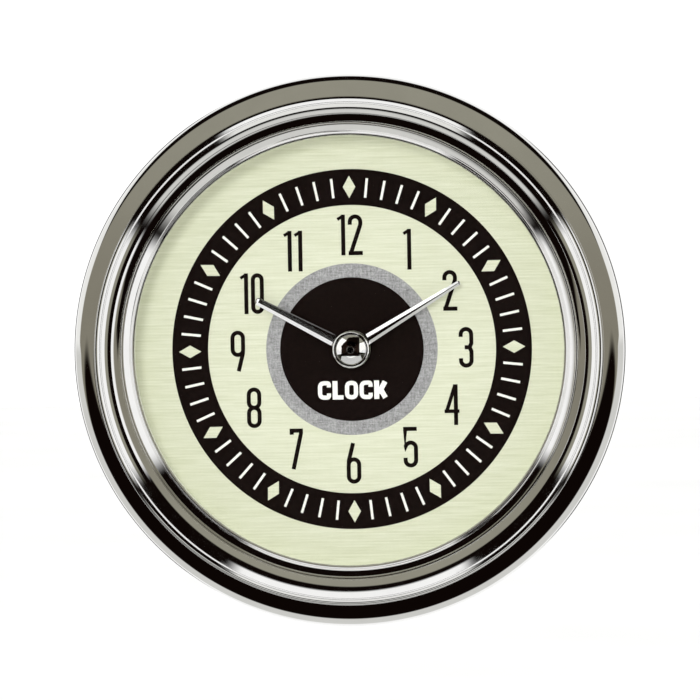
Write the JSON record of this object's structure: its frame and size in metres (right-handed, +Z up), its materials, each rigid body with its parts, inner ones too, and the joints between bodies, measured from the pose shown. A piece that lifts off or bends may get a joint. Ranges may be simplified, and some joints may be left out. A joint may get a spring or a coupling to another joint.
{
  "type": "panel clock",
  "caption": "Round panel-mounted quartz clock with a stepped chromed bezel, flat glass, cream dial with a black chapter ring, two chromed hands, and a rear clamp and setting knob.",
  "frame": {"origin": "on the clock's axis, in the plane where the back of the bezel seats on the panel", "axes": "+Y along the clock's axis to the rear, +Z up towards 12 o'clock, +X towards 3 o'clock as the dial is read"},
  "size_m": [0.0604, 0.0628, 0.0604],
  "materials": {
    "chrome_trim": "polished",
    "hand_chrome": "polished",
    "clear_glass": "gloss",
    "bulb_glass": "gloss",
    "seal_rubber": "matte",
    "case_paint": "satin",
    "dial_paint": "satin",
    "light_guide": "matte",
    "white_plastic": "matte",
    "plate_plastic": "matte",
    "wheel_plastic": "matte",
    "black_plastic": "matte",
    "knob_plastic": "satin",
    "fibre": "matte",
    "board_green": "satin",
    "chip_black": "matte",
    "capacitor_sleeve": "gloss",
    "red_insulation": "satin",
    "black_insulation": "satin",
    "brass": "satin",
    "nickel_brass": "satin",
    "copper_wire": "gloss",
    "zinc_steel": "satin",
    "spring_steel": "satin",
    "plain_steel": "satin",
    "can_steel": "satin",
    "magnet": "matte"
  },
  "bodies": {
    "root": {"bezel": "chrome_trim", "board_spacers": "brass", "carrier_screws": "zinc_steel", "case_screws": "zinc_steel", "case_shell": "case_paint", "circuit_board": "board_green", "coil_bobbin": "white_plastic", "coil_core": "plain_steel", "coil_winding": "copper_wire", "core_screws": "zinc_steel", "dial_carrier": "white_plastic", "dial_feet": "brass", "dial_foot_clips": "spring_steel", "dial_plate": "dial_paint", "driver_chip": "chip_black", "front_bushes": "brass", "front_plate": "plate_plastic", "ground_lead": "black_insulation", "ground_terminal": "nickel_brass", "lens": "clear_glass", "lens_front_seal": "seal_rubber", "lens_rear_gasket": "seal_rubber", "minute_wheel_post": "plain_steel", "mounting_studs": "zinc_steel", "pillar_screws": "zinc_steel", "plate_pillars": "brass", "power_lead": "red_insulation", "power_terminal": "nickel_brass", "quartz_crystal": "can_steel", "rear_bushes": "brass", "rear_plate": "plate_plastic", "reflector_ring": "light_guide", "set_shaft_bush": "brass", "stator": "plain_steel", "stud_lock_nuts": "zinc_steel", "supply_capacitor": "capacitor_sleeve", "terminal_insulators": "fibre", "terminal_rivets": "nickel_brass"},
    "minute_motion": {"minute_hand": "hand_chrome", "hand_cap": "hand_chrome", "cannon_pinion": "brass"},
    "hour_motion": {"hour_hand": "hand_chrome", "hour_wheel": "wheel_plastic", "hour_washer": "brass"},
    "reduction": {"minute_wheel": "wheel_plastic"},
    "setting": {"set_shaft": "plain_steel", "set_knob": "knob_plastic", "set_circlip": "spring_steel"},
    "centre": {"centre_wheel": "wheel_plastic"},
    "third": {"third_wheel": "wheel_plastic"},
    "second": {"second_wheel": "wheel_plastic"},
    "first": {"first_wheel": "wheel_plastic"},
    "rotor": {"rotor_pinion": "wheel_plastic", "rotor_magnet": "magnet"},
    "lamp": {"lamp_socket": "black_plastic", "lamp_bulb": "bulb_glass", "lamp_blade": "nickel_brass"},
    "clamp": {"clamp_bracket": "zinc_steel", "lock_washers": "spring_steel", "thumb_nuts": "nickel_brass"}
  },
  "joints": [
    {"name": "minute_hand_turn", "type": "hinge", "parent": "root", "child": "minute_motion", "pos_m": [0, 0, 0], "axis": [0, 1, 0], "continuous": true},
    {"name": "hour_hand_turn", "type": "hinge", "parent": "root", "child": "hour_motion", "pos_m": [0, 0.001, 0], "axis": [0, 1, 0], "continuous": true},
    {"name": "minute_wheel_turn", "type": "hinge", "parent": "root", "child": "reduction", "pos_m": [0, 0.004, -0.0072], "axis": [0, 1, 0], "continuous": true},
    {"name": "set_knob_turn", "type": "hinge", "parent": "root", "child": "setting", "pos_m": [0, 0.04, -0.0144], "axis": [0, 1, 0], "continuous": true},
    {"name": "rotor_turn", "type": "hinge", "parent": "root", "child": "rotor", "pos_m": [0.00076, 0.01, 0.01175], "axis": [0, 1, 0], "continuous": true},
    {"name": "first_wheel_turn", "type": "hinge", "parent": "root", "child": "first", "pos_m": [-0.00472, 0.0135, 0.01059], "axis": [0, 1, 0], "continuous": true},
    {"name": "second_wheel_turn", "type": "hinge", "parent": "root", "child": "second", "pos_m": [-0.00772, 0.0115, 0.00539], "axis": [0, 1, 0], "continuous": true},
    {"name": "third_wheel_turn", "type": "hinge", "parent": "root", "child": "third", "pos_m": [-0.00846, 0.0097, -0.00308], "axis": [0, 1, 0], "continuous": true},
    {"name": "centre_wheel_turn", "type": "hinge", "parent": "root", "child": "centre", "pos_m": [0, 0.008, 0], "axis": [0, 1, 0], "continuous": true},
    {"name": "lamp_socket_twist", "type": "hinge", "parent": "root", "child": "lamp", "pos_m": [0, 0.038, 0.015], "axis": [0, 1, 0], "range_deg": [0, 60]},
    {"name": "clamp_slide", "type": "slide", "parent": "root", "child": "clamp", "axis": [0, 1, 0], "range_m": [-0.0033, 0.0075]}
  ],
  "couplings": [
    {"joint": "hour_hand_turn", "follows": "minute_hand_turn", "ratio": 0.083333},
    {"joint": "minute_wheel_turn", "follows": "minute_hand_turn", "ratio": -0.33333},
    {"joint": "set_knob_turn", "follows": "minute_hand_turn", "ratio": 1},
    {"joint": "first_wheel_turn", "follows": "rotor_turn", "ratio": -0.16667},
    {"joint": "second_wheel_turn", "follows": "rotor_turn", "ratio": 0.033333},
    {"joint": "third_wheel_turn", "follows": "rotor_turn", "ratio": -0.0044444},
    {"joint": "centre_wheel_turn", "follows": "rotor_turn", "ratio": 0.00055556}
  ]
}
